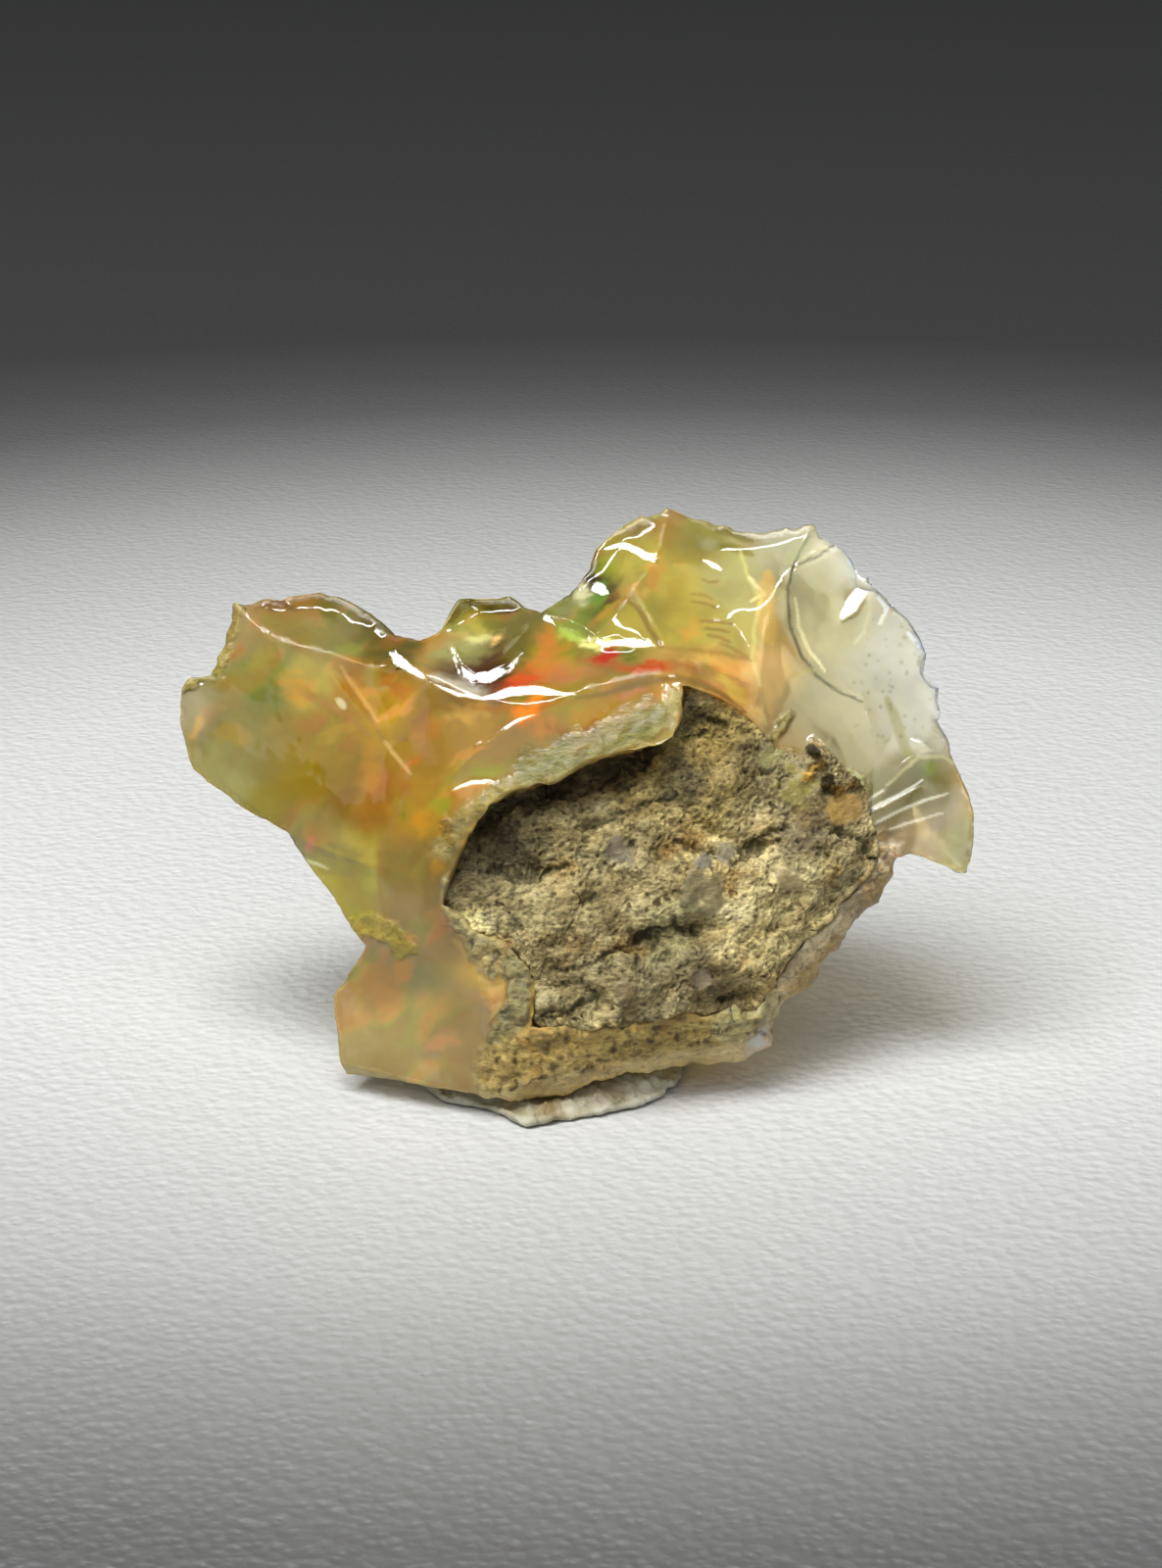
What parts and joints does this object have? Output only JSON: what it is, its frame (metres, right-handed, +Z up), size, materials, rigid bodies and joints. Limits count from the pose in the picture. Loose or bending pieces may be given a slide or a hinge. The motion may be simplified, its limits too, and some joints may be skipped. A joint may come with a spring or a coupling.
{
  "type": "rough opal specimen",
  "caption": "Rough precious opal with sharp curved breaks and a thin clear edge, holding a patch of its host rock, set on a flat pad of putty.",
  "frame": {"origin": "middle of the bottom of the bounding box, on the surface that the putty rests on", "axes": "+X across the stone from its milky lobe to its clear edge, +Y away from the face with the host rock, +Z up"},
  "size_m": [0.0298, 0.018, 0.0193],
  "materials": {
    "opal": "glossy, honey coloured, see-through at the thin edge",
    "host_rock": "rough, matte",
    "putty": "matte, kneaded"
  },
  "bodies": {
    "root": {"opal": "opal", "host_rock": "host_rock", "putty": "putty"}
  },
  "joints": []
}
